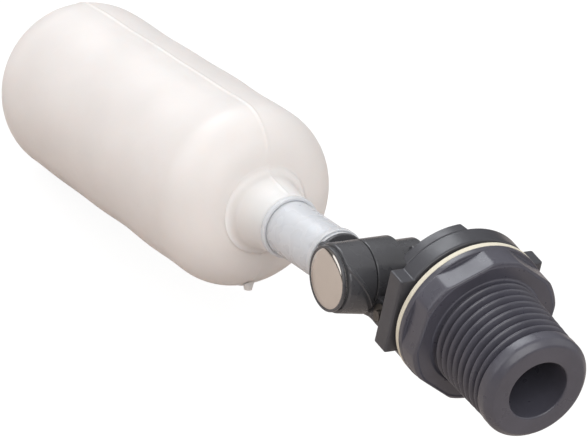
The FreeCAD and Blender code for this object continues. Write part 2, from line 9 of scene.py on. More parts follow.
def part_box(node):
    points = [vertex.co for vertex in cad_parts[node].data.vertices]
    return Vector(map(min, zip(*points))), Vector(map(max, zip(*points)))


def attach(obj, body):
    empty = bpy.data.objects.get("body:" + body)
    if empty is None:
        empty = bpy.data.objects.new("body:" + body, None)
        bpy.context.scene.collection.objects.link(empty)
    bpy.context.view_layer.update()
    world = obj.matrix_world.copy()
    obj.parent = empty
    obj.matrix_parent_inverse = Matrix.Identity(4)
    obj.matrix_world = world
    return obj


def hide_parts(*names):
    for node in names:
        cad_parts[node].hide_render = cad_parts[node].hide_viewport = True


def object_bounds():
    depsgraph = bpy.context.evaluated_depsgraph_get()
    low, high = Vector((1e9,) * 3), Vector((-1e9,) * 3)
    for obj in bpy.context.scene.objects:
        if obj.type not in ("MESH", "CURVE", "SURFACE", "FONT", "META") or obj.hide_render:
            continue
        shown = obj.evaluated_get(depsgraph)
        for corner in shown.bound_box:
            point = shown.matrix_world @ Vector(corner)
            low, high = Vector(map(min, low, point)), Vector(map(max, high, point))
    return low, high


bl_info = {
    "name": "Float valve",
    "version": (1, 0, 0),
    "blender": (4, 5, 0),
    "location": "3D View > Sidebar > Float valve",
    "description": "Finishes and detailed pieces of a tank float valve",
    "category": "Object",
}

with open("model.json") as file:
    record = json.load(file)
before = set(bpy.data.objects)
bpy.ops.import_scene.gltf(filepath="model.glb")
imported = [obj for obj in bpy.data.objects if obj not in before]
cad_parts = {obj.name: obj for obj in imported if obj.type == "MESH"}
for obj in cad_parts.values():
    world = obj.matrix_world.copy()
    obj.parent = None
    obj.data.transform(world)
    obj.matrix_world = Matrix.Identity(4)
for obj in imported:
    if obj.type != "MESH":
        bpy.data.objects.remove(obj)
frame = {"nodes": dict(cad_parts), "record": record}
CAD_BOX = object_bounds()
NODES = frame["nodes"]
RECORD = frame["record"]
MM = 0.001


def joint(name):
    """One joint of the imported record."""
    return next(j for j in RECORD["behaviour"]["joints"] if j["name"] == name)


# ------------------------------------------------------------------ colours
def linear(hex_colour):
    """An sRGB hex colour as linear red, green, blue and alpha."""
    parts = [int(hex_colour[i:i + 2], 16) / 255 for i in (1, 3, 5)]
    return tuple(c / 12.92 if c <= 0.04045 else ((c + 0.055) / 1.055) ** 2.4
                 for c in parts) + (1.0,)


def colour_property(name, description, hex_colour):
    """A colour setting with an sRGB hex default."""
    return FloatVectorProperty(name=name, description=description, subtype="COLOR", size=4,
                               min=0.0, max=1.0, default=linear(hex_colour))


def length_property(name, description, metres):
    """A length setting in metres."""
    return FloatProperty(name=name, description=description, subtype="DISTANCE",
                         unit="LENGTH", default=metres, precision=5)


# ------------------------------------------------------------------ settings
class FinishSettings(bpy.types.PropertyGroup):
    """Colours of the valve's finishes."""
    body: colour_property("Body PVC", "Inlet, flange and nut moulding", "#4A4952")
    nut: colour_property("Nut PVC", "Lock nut moulding", "#3C3C41")
    lever: colour_property("Lever PVC", "Knuckle halves and lever", "#4A4A4D")
    gasket: colour_property("Gasket", "Bulkhead gasket rubber", "#E3DCC9")
    steel: colour_property("Stainless steel", "Screw head, pins and nuts", "#D9D3CC")
    float_milk: colour_property("Float", "Natural polyethylene", "#E7E2DF")
    tube: colour_property("Tube", "Bluish white polyethylene", "#D0D2D6")
    acetal: colour_property("Plunger", "Natural acetal", "#D8D5CC")
    nitrile: colour_property("Nitrile", "Seal and sealing ring", "#17171A")


class SizeSettings(bpy.types.PropertyGroup):
    """Sizes of the visible detail."""
    pitch: length_property("Thread pitch", "Distance from ridge to ridge", 0.001814)
    thread_depth: length_property("Thread depth", "Crest to root of the inlet thread", 0.00135)
    seam: length_property("Seam", "Height of the float's mould seam", 0.00018)


class StageSettings(bpy.types.PropertyGroup):
    """Camera and lights."""
    lens: FloatProperty(name="Lens", description="Focal length in millimetres", default=408.2)
    floor: colour_property("Floor", "Plain pale floor", "#FFFFFF")
    bounce: colour_property("Bounce", "Colour that the floor throws back", "#C6BBB4")
    sky: FloatProperty(name="Sky", description="Strength of the white surroundings", default=0.42)
    key: FloatProperty(name="Key light", description="Power of the large soft light", default=7.0,
                       unit="POWER")
    back: FloatProperty(name="Back light", description="Power of the light behind", default=3.4,
                        unit="POWER")
    fill: FloatProperty(name="Fill light", description="Power of the fill light", default=3.2,
                        unit="POWER")


# ------------------------------------------------------------------ materials
def add(tree, kind, settings=None, **inputs):
    """Add a node; inputs are sockets to link or plain values, named or numbered (i0, i1)."""
    made = tree.nodes.new(kind)
    for name, value in (settings or {}).items():
        setattr(made, name, value)
    for name, value in inputs.items():
        key = int(name[1:]) if name[0] == "i" and name[1:].isdigit() else name.replace("_", " ")
        if isinstance(value, bpy.types.NodeSocket):
            tree.links.new(value, made.inputs[key])
        else:
            made.inputs[key].default_value = value
    return made


def material(name):
    """An empty node material with its output and shader."""
    made = bpy.data.materials.new(name)
    made.use_nodes = True
    tree = made.node_tree
    tree.nodes.clear()
    shader = tree.nodes.new("ShaderNodeBsdfPrincipled")
    output = tree.nodes.new("ShaderNodeOutputMaterial")
    tree.links.new(shader.outputs[0], output.inputs["Surface"])
    return made, tree, shader


def place(tree):
    """Object coordinates in metres."""
    return add(tree, "ShaderNodeTexCoord").outputs["Object"]


def noise(tree, where, size_mm, detail=3.0, rough=0.55):
    """Noise whose blotches are about size_mm across."""
    return add(tree, "ShaderNodeTexNoise", None, Vector=where, Scale=1.0 / (size_mm * MM),
               Detail=detail, Roughness=rough).outputs["Fac"]


def ramp(tree, factor, low, high, out_low, out_high):
    """Map a factor from one range to another, clamped."""
    return add(tree, "ShaderNodeMapRange", None, Value=factor, From_Min=low, From_Max=high,
               To_Min=out_low, To_Max=out_high).outputs[0]


def blend_colours(tree, factor, first, second):
    """The first colour where the factor is 0, the second where it is 1."""
    mix = add(tree, "ShaderNodeMix", {"data_type": "RGBA"}, Factor=factor)
    for socket, value in ((mix.inputs[6], first), (mix.inputs[7], second)):
        if isinstance(value, bpy.types.NodeSocket):
            tree.links.new(value, socket)
        else:
            socket.default_value = value
    return mix.outputs[2]


def shade(colour, factor):
    """A colour with red, green and blue multiplied, no higher than 1."""
    return tuple(min(1.0, c * factor) for c in colour[:3]) + (1.0,)


def moulded_pvc(name, colour, roughness):
    """Unplasticised grey PVC, injection moulded: dense and cool grey, a satin skin with a fine
    orange peel, faint flow marks and slightly paler scuffs."""
    made, tree, shader = material(name)
    where = place(tree)
    flow = noise(tree, where, 9.0, 4.0, 0.6)
    pale = noise(tree, where, 1.3, 3.0, 0.6)
    tone = blend_colours(tree, ramp(tree, flow, 0.35, 0.7, 0.0, 1.0), shade(colour, 0.90),
                         shade(colour, 1.12))
    tone = blend_colours(tree, ramp(tree, pale, 0.55, 0.75, 0.0, 0.25), tone,
                         shade(colour, 1.35))
    tree.links.new(tone, shader.inputs["Base Color"])
    scuff = noise(tree, where, 2.6, 2.0, 0.5)
    tree.links.new(ramp(tree, scuff, 0.3, 0.75, roughness - 0.04, roughness + 0.08),
                   shader.inputs["Roughness"])
    peel = noise(tree, where, 0.55, 2.0, 0.5)
    bump = add(tree, "ShaderNodeBump", None, Height=peel, Strength=0.10, Distance=0.05 * MM)
    tree.links.new(bump.outputs[0], shader.inputs["Normal"])
    shader.inputs["IOR"].default_value = 1.53
    return made


def gasket_rubber(colour):
    """Soft cream rubber cut from sheet: matt, faintly grained, a little dirt in the skin."""
    made, tree, shader = material("gasket_rubber_cream")
    where = place(tree)
    tone = blend_colours(tree, noise(tree, where, 1.5, 4.0, 0.6), shade(colour, 0.86), colour)
    tree.links.new(tone, shader.inputs["Base Color"])
    shader.inputs["Roughness"].default_value = 0.72
    bump = add(tree, "ShaderNodeBump", None, Height=noise(tree, where, 0.25), Strength=0.3,
               Distance=0.05 * MM)
    tree.links.new(bump.outputs[0], shader.inputs["Normal"])
    return made


def stainless(name, colour, roughness, grain_mm):
    """Stainless steel, turned and polished: warm bright reflections, hairline grain."""
    made, tree, shader = material(name)
    where = place(tree)
    tone = blend_colours(tree, noise(tree, where, 3.0), shade(colour, 0.92), colour)
    tree.links.new(tone, shader.inputs["Base Color"])
    shader.inputs["Metallic"].default_value = 1.0
    grain = noise(tree, where, grain_mm, 4.0, 0.7)
    tree.links.new(ramp(tree, grain, 0.3, 0.7, roughness * 0.7, roughness * 1.4),
                   shader.inputs["Roughness"])
    bump = add(tree, "ShaderNodeBump", None, Height=grain, Strength=0.08, Distance=0.02 * MM)
    tree.links.new(bump.outputs[0], shader.inputs["Normal"])
    return made


def milky_polyethylene(colour):
    """Natural blow-moulded polyethylene: milky, waxy, light goes a few millimetres in, and the
    wall ripples slightly where it was drawn thin."""
    made, tree, shader = material("polyethylene_blow_moulded")
    where = place(tree)
    cloud = noise(tree, where, 14.0, 3.0, 0.5)
    tone = blend_colours(tree, ramp(tree, cloud, 0.3, 0.7, 0.0, 1.0), shade(colour, 0.95), colour)
    tree.links.new(tone, shader.inputs["Base Color"])
    tree.links.new(ramp(tree, noise(tree, where, 2.0, 4.0), 0.3, 0.7, 0.36, 0.5),
                   shader.inputs["Roughness"])
    wave = noise(tree, where, 6.0, 3.0, 0.5)
    bump = add(tree, "ShaderNodeBump", None, Height=wave, Strength=0.25, Distance=0.25 * MM)
    fine = add(tree, "ShaderNodeBump", None, Height=noise(tree, where, 0.5), Strength=0.12,
               Distance=0.05 * MM, Normal=bump.outputs[0])
    tree.links.new(fine.outputs[0], shader.inputs["Normal"])
    shader.inputs["IOR"].default_value = 1.51
    shader.inputs["Subsurface Weight"].default_value = 0.5
    shader.inputs["Subsurface Radius"].default_value = (1.0, 0.8, 0.7)
    shader.inputs["Subsurface Scale"].default_value = 3.0 * MM
    return made


def tube_polyethylene(colour):
    """Extruded polyethylene tube: bluish white, half clear, glossy, faintly mottled."""
    made, tree, shader = material("polyethylene_extruded_tube")
    where = place(tree)
    tone = blend_colours(tree, noise(tree, where, 5.0), shade(colour, 0.94), colour)
    tree.links.new(tone, shader.inputs["Base Color"])
    tree.links.new(ramp(tree, noise(tree, where, 3.0, 1.0), 0.3, 0.7, 0.24, 0.32),
                   shader.inputs["Roughness"])
    bump = add(tree, "ShaderNodeBump", None, Height=noise(tree, where, 4.0, 1.0), Strength=0.03,
               Distance=0.04 * MM)
    tree.links.new(bump.outputs[0], shader.inputs["Normal"])
    shader.inputs["IOR"].default_value = 1.51
    shader.inputs["Subsurface Weight"].default_value = 0.5
    shader.inputs["Subsurface Radius"].default_value = (0.8, 0.9, 1.0)
    shader.inputs["Subsurface Scale"].default_value = 2.0 * MM
    return made


def plain_polymer(name, colour, roughness):
    """A hidden moulding or seal: even tone, faint grain."""
    made, tree, shader = material(name)
    where = place(tree)
    tone = blend_colours(tree, noise(tree, where, 1.5), shade(colour, 0.85), colour)
    tree.links.new(tone, shader.inputs["Base Color"])
    shader.inputs["Roughness"].default_value = roughness
    bump = add(tree, "ShaderNodeBump", None, Height=noise(tree, where, 0.4), Strength=0.15,
               Distance=0.05 * MM)
    tree.links.new(bump.outputs[0], shader.inputs["Normal"])
    return made


def coat(names, made):
    """Give CAD nodes one material in every slot."""
    for name in names:
        mesh = NODES[name].data
        if not mesh.materials:
            mesh.materials.append(made)
        for i in range(len(mesh.materials)):
            mesh.materials[i] = made


# ------------------------------------------------------------------ shapes
def span(node):
    """Lowest and highest corner of a CAD node in millimetres."""
    low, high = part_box(node)
    return np.array(low) / MM, np.array(high) / MM


def softened(corners, radius, steps=5, closed=True):
    """Round a polygon's corners: each corner P gives the curve (1-t)^2 A + 2t(1-t) P + t^2 B,
    where A and B lie on the sides next to it, no further than the radius or 45% of a side."""
    p = np.asarray(corners, float)
    before, after = np.roll(p, 1, 0) - p, np.roll(p, -1, 0) - p
    len_b = np.linalg.norm(before, axis=1, keepdims=True)
    len_a = np.linalg.norm(after, axis=1, keepdims=True)
    reach_b = np.minimum(radius, 0.45 * len_b)
    reach_a = np.minimum(radius, 0.45 * len_a)
    if not closed:
        reach_b[[0, -1]] = 0.0
        reach_a[[0, -1]] = 0.0
    a, b = p + before / len_b * reach_b, p + after / len_a * reach_a
    t = np.linspace(0, 1, steps)[None, :, None]
    curve = (1 - t) ** 2 * a[:, None] + 2 * t * (1 - t) * p[:, None] + t ** 2 * b[:, None]
    return curve.reshape(-1, 2)


def surface(name, points, closed_rows=True):
    """One mesh from points P(row, step): every row closes on itself, and the rows close on
    each other or end in flat caps. The faces are turned over if the volume comes out below
    zero, so they always point outwards."""
    rows, steps = points.shape[:2]
    r = np.arange(rows if closed_rows else rows - 1)
    a, b = np.meshgrid(r, np.arange(steps), indexing="ij")
    c, d = (a + 1) % rows, (b + 1) % steps
    faces = np.stack([a * steps + b, c * steps + b, c * steps + d, a * steps + d], -1)
    faces = faces.reshape(-1, 4)
    flat = points.reshape(-1, 3) * MM
    p0, p1, p2, p3 = (flat[faces[:, i]] for i in range(4))
    volume = (np.einsum("ij,ij->i", p0, np.cross(p1, p2)).sum()
              + np.einsum("ij,ij->i", p0, np.cross(p2, p3)).sum())
    polygons = faces.tolist()
    if not closed_rows:
        first, last = np.arange(steps), (rows - 1) * steps + np.arange(steps)
        for cap in (first, last[::-1]):
            fan = flat[cap]
            volume += np.einsum("ij,ij->i", np.broadcast_to(fan[0], fan[1:-1].shape),
                                np.cross(fan[1:-1], fan[2:])).sum()
        polygons += [first.tolist(), last[::-1].tolist()]
    if volume < 0:
        polygons = [face[::-1] for face in polygons]
    mesh = bpy.data.meshes.new(name)
    mesh.from_pydata(flat.tolist(), [], polygons)
    mesh.polygons.foreach_set("use_smooth", np.ones(len(polygons), bool))
    mesh.update()
    piece = bpy.data.objects.new(name, mesh)
    bpy.context.scene.collection.objects.link(piece)
    return piece


def sheet_of(name, points):
    """An open surface from a grid of points P(u, v), as one mesh object."""
    nu, nv = points.shape[:2]
    iu = np.arange(nu - 1)
    iv = np.arange(nv - 1)
    a, b = np.meshgrid(iu, iv, indexing="ij")
    c, d = a + 1, b + 1
    faces = np.stack([a * nv + b, c * nv + b, c * nv + d, a * nv + d], -1).reshape(-1, 4)
    mesh = bpy.data.meshes.new(name)
    mesh.vertices.add(nu * nv)
    mesh.vertices.foreach_set("co", points.reshape(-1).astype(np.float32))
    mesh.loops.add(faces.size)
    mesh.loops.foreach_set("vertex_index", faces.reshape(-1).astype(np.int32))
    mesh.polygons.add(len(faces))
    mesh.polygons.foreach_set("loop_start", np.arange(0, faces.size, 4, dtype=np.int32))
    mesh.polygons.foreach_set("use_smooth", np.ones(len(faces), bool))
    mesh.update(calc_edges=True)
    piece = bpy.data.objects.new(name, mesh)
    bpy.context.scene.collection.objects.link(piece)
    return piece


def settle(piece, made, body, slot, *replaced):
    """Give a finished piece its material, its body and the CAD nodes it stands for; the slot
    argument is not used.
    """
    piece.data.materials.append(made)
    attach(piece, body)
    if replaced:
        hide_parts(*replaced)
    return piece


class Frame:
    """A place and three square directions: along, and the two that angles are counted from."""

    def __init__(self, origin, along, across, up):
        self.origin, self.along, self.across, self.up = (np.asarray(v, float) for v in
                                                         (origin, along, across, up))

    def at(self, s, u, v):
        """origin + s along + u across + v up, for whole arrays at once."""
        s, u, v = np.broadcast_arrays(s, u, v)
        return (self.origin + s[..., None] * self.along + u[..., None] * self.across
                + v[..., None] * self.up)

    def round(self, s, r, angle):
        """Cylinder coordinates: s along, r out, at an angle from across towards up."""
        return self.at(s, r * np.cos(angle), r * np.sin(angle))


def turned(name, frame_of, profile, steps=96, closed=True):
    """A body of revolution: P = round(s, r, angle) for a profile of (s, r) and even angles."""
    profile = np.asarray(profile)
    angle = np.linspace(0, 2 * np.pi, steps, endpoint=False)[None, :]
    return surface(name, frame_of.round(profile[:, :1], profile[:, 1:], angle), closed)


def extruded(name, frame_of, outline, start, end, edge=0.35):
    """A plate: the outline is carried from start to end, and drawn in along its normals by
    edge (1 - sin t) over the first and the last edge (1 - cos t), so its rims are rounded."""
    outline = np.asarray(outline)
    ahead = np.roll(outline, -1, 0) - np.roll(outline, 1, 0)
    normal = np.stack([ahead[:, 1], -ahead[:, 0]], -1)
    normal /= np.linalg.norm(normal, axis=1, keepdims=True)
    x, y = outline.T
    turn = np.sum(x * np.roll(y, -1) - np.roll(x, -1) * y)
    normal *= np.sign(turn)
    t = np.linspace(0, np.pi / 2, 5)
    inset = np.concatenate([edge * (1 - np.sin(t)), edge * (1 - np.sin(t[::-1]))])
    s = np.concatenate([start + edge * (1 - np.cos(t)), end - edge * (1 - np.cos(t[::-1]))])
    ring = outline[None] - inset[:, None, None] * normal[None]
    return surface(name, frame_of.at(s[:, None], ring[..., 0], ring[..., 1]), False)


def smooth_step(x, low, high):
    """0 below low, 1 above high, 3t^2 - 2t^3 between."""
    t = np.clip((x - low) / (high - low), 0, 1)
    return t * t * (3 - 2 * t)


def soft_least(a, b, width):
    """The smaller of two lengths, rounded where they cross: -w ln(e^(-a/w) + e^(-b/w))."""
    return -width * np.logaddexp(-a / width, -b / width)


# Frames of the moving pieces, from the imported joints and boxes, in millimetres
AXIS = Frame((0, 0, 0), (1, 0, 0), (0, 1, 0), (0, 0, 1))
KNUCKLE = np.array(joint("knuckle_adjust")["pos_m"]) / MM
TUBE_LOW, TUBE_HIGH = span("arm_tube")
DROOP = np.radians(12.85)
ARM_ALONG = np.array((np.cos(DROOP), 0, -np.sin(DROOP)))
ARM_UP = np.array((np.sin(DROOP), 0, np.cos(DROOP)))
ARM_SIDE = (TUBE_LOW[1] + TUBE_HIGH[1]) / 2
PIN = Frame((KNUCKLE[0], 0, KNUCKLE[2]), (0, 1, 0), ARM_ALONG, ARM_UP)
ARM = Frame((KNUCKLE[0], ARM_SIDE, KNUCKLE[2]), ARM_ALONG, (0, 1, 0), ARM_UP)
PLATE = Frame((0, 0, 0), (0, 1, 0), (1, 0, 0), (0, 0, 1))


# ------------------------------------------------------------------ operators
class VALVE_OT_body(bpy.types.Operator):
    """Make the moulded body: tip, taper thread, wrench flange, shank and clevis ears"""
    bl_idname = "valve.body"
    bl_label = "Body"

    def execute(self, context):
        size = context.scene.valve_sizes
        tone = context.scene.valve_finish
        low, high = span("valve_body")
        pitch = size.pitch / MM
        depth = size.thread_depth / MM
        angle = np.linspace(0, 2 * np.pi, 300, endpoint=False)[None, :]
        tip, flange, ledge, face = low[0], -6.7, -2.26, -1.06
        rim, end = high[1], 8.9
        bore, thread_start, tip_crest = 5.74, -23.0, 10.35
        flat_half, flat_turn, corner_edge = 13.597, 35.2, 0.35
        web_root, shank_root, shank_crest = 10.9, 9.2, 9.67
        chamber, nozzle, chamber_floor, nozzle_floor = 5.0, 3.6, -0.2, -4.0
        ear_radius, ear_thickness = 2.3, 2.2

        def even(profile):
            return profile[:, :1] + 0 * angle, profile[:, 1:] + 0 * angle

        def wound(x, start, crest, cut_depth):
            """r = crest - depth (1 - ridge(phase)); phase counts turns, one ridge each."""
            phase = ((x - start) / pitch - (angle + np.pi / 2) / (2 * np.pi) + 0.5) % 1.0
            ridge = np.clip((1 - np.abs(2 * phase - 1) - 0.10) / 0.78, 0, 1)
            ridge = 0.45 * ridge + 0.55 * ridge * ridge * (3 - 2 * ridge)
            return crest - cut_depth * (1 - ridge)

        tip_end = softened([(nozzle_floor, bore), (tip, bore), (tip, 9.24), (-24.2, tip_crest),
                            (-21.95, tip_crest), (-21.75, 9.6)], 0.45, 6, closed=False)
        x = np.linspace(-21.7, flange - 0.25, 118)[:, None]
        # taper pipe threads widen by 1.79 degrees a side
        crest = 10.2 + (x - thread_start) * np.tan(np.radians(1.79))
        taper = wound(x, thread_start, crest, depth)
        hexagon = flat_half / np.cos(np.radians((np.degrees(angle) - flat_turn) % 60 - 30))
        side = np.concatenate([flange + corner_edge * (1 - np.cos(np.linspace(0, np.pi / 2, 7))),
                               np.linspace(flange + 0.5, ledge - 0.1, 9)])[:, None]
        from_edge = ((flange + corner_edge - side) / corner_edge).clip(0, 1)
        drawn_in = corner_edge * (1 - np.sqrt(np.clip(1 - from_edge ** 2, 0, 1)))
        wrench = soft_least(soft_least(hexagon, rim + 0 * side, 0.05),
                            14.05 + (side - flange) * 1.07, 0.08) - drawn_in
        inner = np.linspace(0, 1, 9)[:, None]
        web = web_root + (wrench[:1] - web_root) * inner
        ledge_side = softened([(ledge, 13.2), (ledge, rim), (face, rim),
                               (face, shank_root)],
                              0.18, 5, closed=False)
        ledge_x, ledge_r = even(ledge_side)
        ledge_r[0] = np.minimum(wrench[-1], ledge_r[0] + 9)
        ledge_r[:5] = wrench[-1]
        x2 = np.linspace(face + 0.05, end - 0.5, 54)[:, None]
        shank = wound(x2, -1.9, shank_crest - 0 * x2, 0.87)
        tail = softened([(end - 0.4, 8.9), (end, 8.4), (end, chamber), (chamber_floor, chamber),
                         (chamber_floor, nozzle), (nozzle_floor, nozzle)], 0.25, 5,
                        closed=False)
        parts = [even(tip_end), (x + 0 * angle, taper),
                 even(softened([(flange - 0.2, 9.9), (flange - 0.05, 10.3), (flange, web_root)],
                               0.2, 3, closed=False)),
                 (flange + 0 * web, web), (side + 0 * angle, wrench),
                 (ledge_x, ledge_r), (x2 + 0 * angle, shank), even(tail)]
        s = np.concatenate([p[0] for p in parts])
        r = np.concatenate([p[1] for p in parts])
        made = moulded_pvc("pvc_moulded_body", tuple(tone.body), 0.30)
        settle(surface("body_moulding", AXIS.round(s, r, angle)), made, "valve",
               "body_plastic", "valve_body")
        pivot = np.array(joint("lever_pivot")["pos_m"]) / MM
        bend = np.linspace(-np.pi / 2, np.pi / 2, 17)
        round_end = np.stack([pivot[0] + ear_radius * np.cos(bend),
                              pivot[2] + ear_radius * np.sin(bend)], -1)
        outline = np.concatenate([[(end - 1, pivot[2] - ear_radius)], round_end,
                                  [(end - 1, pivot[2] + ear_radius)]])
        for name, start in (("clevis_ear_left", 1.9), ("clevis_ear_right", -4.1)):
            settle(extruded(name, PLATE, outline, start, start + ear_thickness, 0.25),
                   made, "valve", "body_plastic", "valve_body")
        return {"FINISHED"}


class VALVE_OT_nut(bpy.types.Operator):
    """Make the lock nut with its two lugs and raised rear arcs, and the gasket"""
    bl_idname = "valve.nut"
    bl_label = "Lock nut and gasket"

    def execute(self, context):
        tone = context.scene.valve_finish
        low, high = span("lock_nut")
        front, back, lug_back = low[0], high[0], 5.0
        lug, half, ring = high[1], 7.5, 14.2
        steps, gasket_bore, crown = 720, 9.85, 13.9
        crown_from, crown_span = 35.0, 55.0
        angle = np.linspace(0, 2 * np.pi, steps, endpoint=False)[None, :]
        bar = soft_least(lug / np.maximum(np.abs(np.cos(angle)), 1e-3),
                         half / np.maximum(np.abs(np.sin(angle)), 1e-3), 0.12)
        outer = -soft_least(-bar, -ring + 0 * bar, 0.06)
        turn = (np.degrees(angle) - crown_from) % 180
        raised = smooth_step(turn, -0.1, 2.5) * (1 - smooth_step(turn, 52.5, crown_span))
        rear = lug_back + (back - lug_back) * raised
        t = np.linspace(0, np.pi / 2, 6)[:, None]
        edge = 0.4
        rows = [
            (front + 0 * angle, gasket_bore + 0.3 + 0 * angle),
            (front + 0 * angle, 12.0 + 0 * angle),
            (front + edge * (1 - np.sin(t[::-1])) + 0 * angle,
             outer - edge * (1 - np.cos(t[::-1]))),
            (np.linspace(front + 0.7, lug_back - 0.7, 8)[:, None] + 0 * angle,
             outer + 0 * np.zeros((8, 1))),
            (lug_back - edge * (1 - np.sin(t)) + 0 * angle, outer - edge * (1 - np.cos(t))),
            (lug_back + 0 * angle, np.minimum(outer - edge, 13.95)),
            (lug_back + (rear - lug_back) * np.linspace(0.05, 0.8, 6)[:, None],
             crown + 0 * angle + 0 * np.zeros((6, 1))),
            (rear - 0.3 * (1 - np.sin(t)) * raised,
             crown - 0.3 * (1 - np.cos(t)) + 0 * angle),
            (rear, 11.5 + 0 * angle),
            (rear - 0.1, 11.2 + 0 * angle),
            (np.minimum(rear - 0.15, 5.6), 11.15 + 0 * angle),
            (np.minimum(rear - 0.15, 5.6), 10.2 + 0 * angle),
            (np.minimum(rear - 0.5, 5.3), 9.86 + 0 * angle),
            (front + 0.3 + 0 * angle, 9.86 + 0 * angle),
        ]
        s = np.concatenate([np.broadcast_to(row[0], (row[0].shape[0], steps)) for row in rows])
        r = np.concatenate([np.broadcast_to(row[1], (row[1].shape[0], steps)) for row in rows])
        settle(surface("lock_nut_moulding", AXIS.round(s, r, angle)),
               moulded_pvc("pvc_moulded_nut", tuple(tone.nut), 0.33), "lock_nut",
               "body_plastic", "lock_nut")
        low, high = span("bulkhead_gasket")
        ring_profile = softened([(low[0], gasket_bore), (high[0], gasket_bore), (high[0], high[1]),
                                 (low[0], high[1])], 0.22, 6)
        settle(turned("gasket_ring", AXIS, ring_profile, 256), gasket_rubber(tuple(tone.gasket)),
               "valve", "gasket_rubber", "bulkhead_gasket")
        return {"FINISHED"}


class VALVE_OT_lever(bpy.types.Operator):
    """Make the lever's barrel, centre web and side arm, and the clamp screw's dome, a dark ring of
    painted reflection and shade round it, and washer"""
    bl_idname = "valve.lever"
    bl_label = "Lever and clamp screw"

    def execute(self, context):
        tone = context.scene.valve_finish
        made = moulded_pvc("pvc_moulded_lever", tuple(tone.lever), 0.27)
        pivot = np.array(joint("lever_pivot")["pos_m"]) / MM
        kx, kz = KNUCKLE[0], KNUCKLE[2]
        barrel = softened([(-1.6, 4.3), (-1.6, 5.3), (3.7, 5.3), (3.7, 6.3), (9.95, 6.3),
                           (9.95, 5.3), (9.6, 5.3), (9.6, 2.1), (0.9, 2.1), (0.9, 4.3)],
                          0.25, 5)
        settle(turned("lever_barrel", PIN, barrel, 160), made, "lever", "lever_plastic", "lever")
        web = softened([(pivot[0] - 1.9, pivot[2]), (pivot[0] - 1.2, pivot[2] + 1.8),
                        (10.5, -0.9), (10.8, 1.4), (12.8, 1.6), (kx - 1, 2.2),
                        (kx + 1, -9.7), (pivot[0] + 2.0, pivot[2] - 2.0),
                        (pivot[0] - 1.3, pivot[2] - 1.8)], 1.1, 7)
        settle(extruded("lever_web", PLATE, web, -1.6, 1.6, 0.3), made, "lever",
               "lever_plastic", "lever")
        arm = softened([(kx - 1.2, kz - 1), (kx + 1.5, -9.9), (kx - 2.2, -10.9),
                        (pivot[0] + 3.4, -9.8), (pivot[0] + 0.6, -10.0),
                        (pivot[0] - 2.2, pivot[2] - 2.2), (pivot[0] - 2.9, pivot[2] + 0.2),
                        (pivot[0] - 1.6, pivot[2] + 2.6)], 1.6, 8)
        settle(extruded("lever_side_arm", PLATE, arm, 6.9, 9.6, 0.3), made, "lever",
               "lever_plastic", "lever")
        bright = stainless("stainless_polished", tuple(tone.steel), 0.12, 1.2)
        low, high = span("clamp_screw")
        # the dome falls from its crown to its foot as (1 - (r / dome_radius)^2)^0.6
        dome_radius, dome_foot, screw_radius = 5.6, 16.8, 2.0
        r = dome_radius * np.sin(np.linspace(0.01, np.pi / 2, 40))
        fall = (1 - (r / dome_radius) ** 2) ** 0.6
        dome = np.stack([dome_foot + (high[1] - dome_foot) * fall, r], -1)
        rest = softened([(16.62, dome_radius), (16.38, 5.5), (16.36, screw_radius),
                         (low[1] + 0.4, screw_radius),
                         (low[1], 1.6), (low[1], 0.05)], 0.15, 4, closed=False)
        settle(turned("clamp_screw_domed", PIN, np.concatenate([dome, rest]), 160, False),
               bright, "lever", "polished_steel", "clamp_screw")
        # dark ring round the dome in the lever's PVC: painted dark reflection and shade at the
        # screw head's rolled edge
        rim = softened([(16.37, 5.3), (16.37, 6.0), (17.05, 6.0), (17.05, dome_radius),
                        (16.85, 5.3)], 0.24, 6)
        settle(turned("clamp_screw_painted_dark_edge", PIN, rim, 160), made, "lever", "polished_steel",
               "clamp_screw")
        low, high = span("clamp_washer")
        settle(turned("clamp_washer_disc", PIN, softened(
            [(low[1], 2.05), (high[1], 2.05), (high[1], 5.5), (low[1], 5.5)], 0.12, 4), 96),
            stainless("stainless_washer", tuple(tone.steel), 0.3, 0.5), "lever",
            "plain_steel", "clamp_washer")
        return {"FINISHED"}


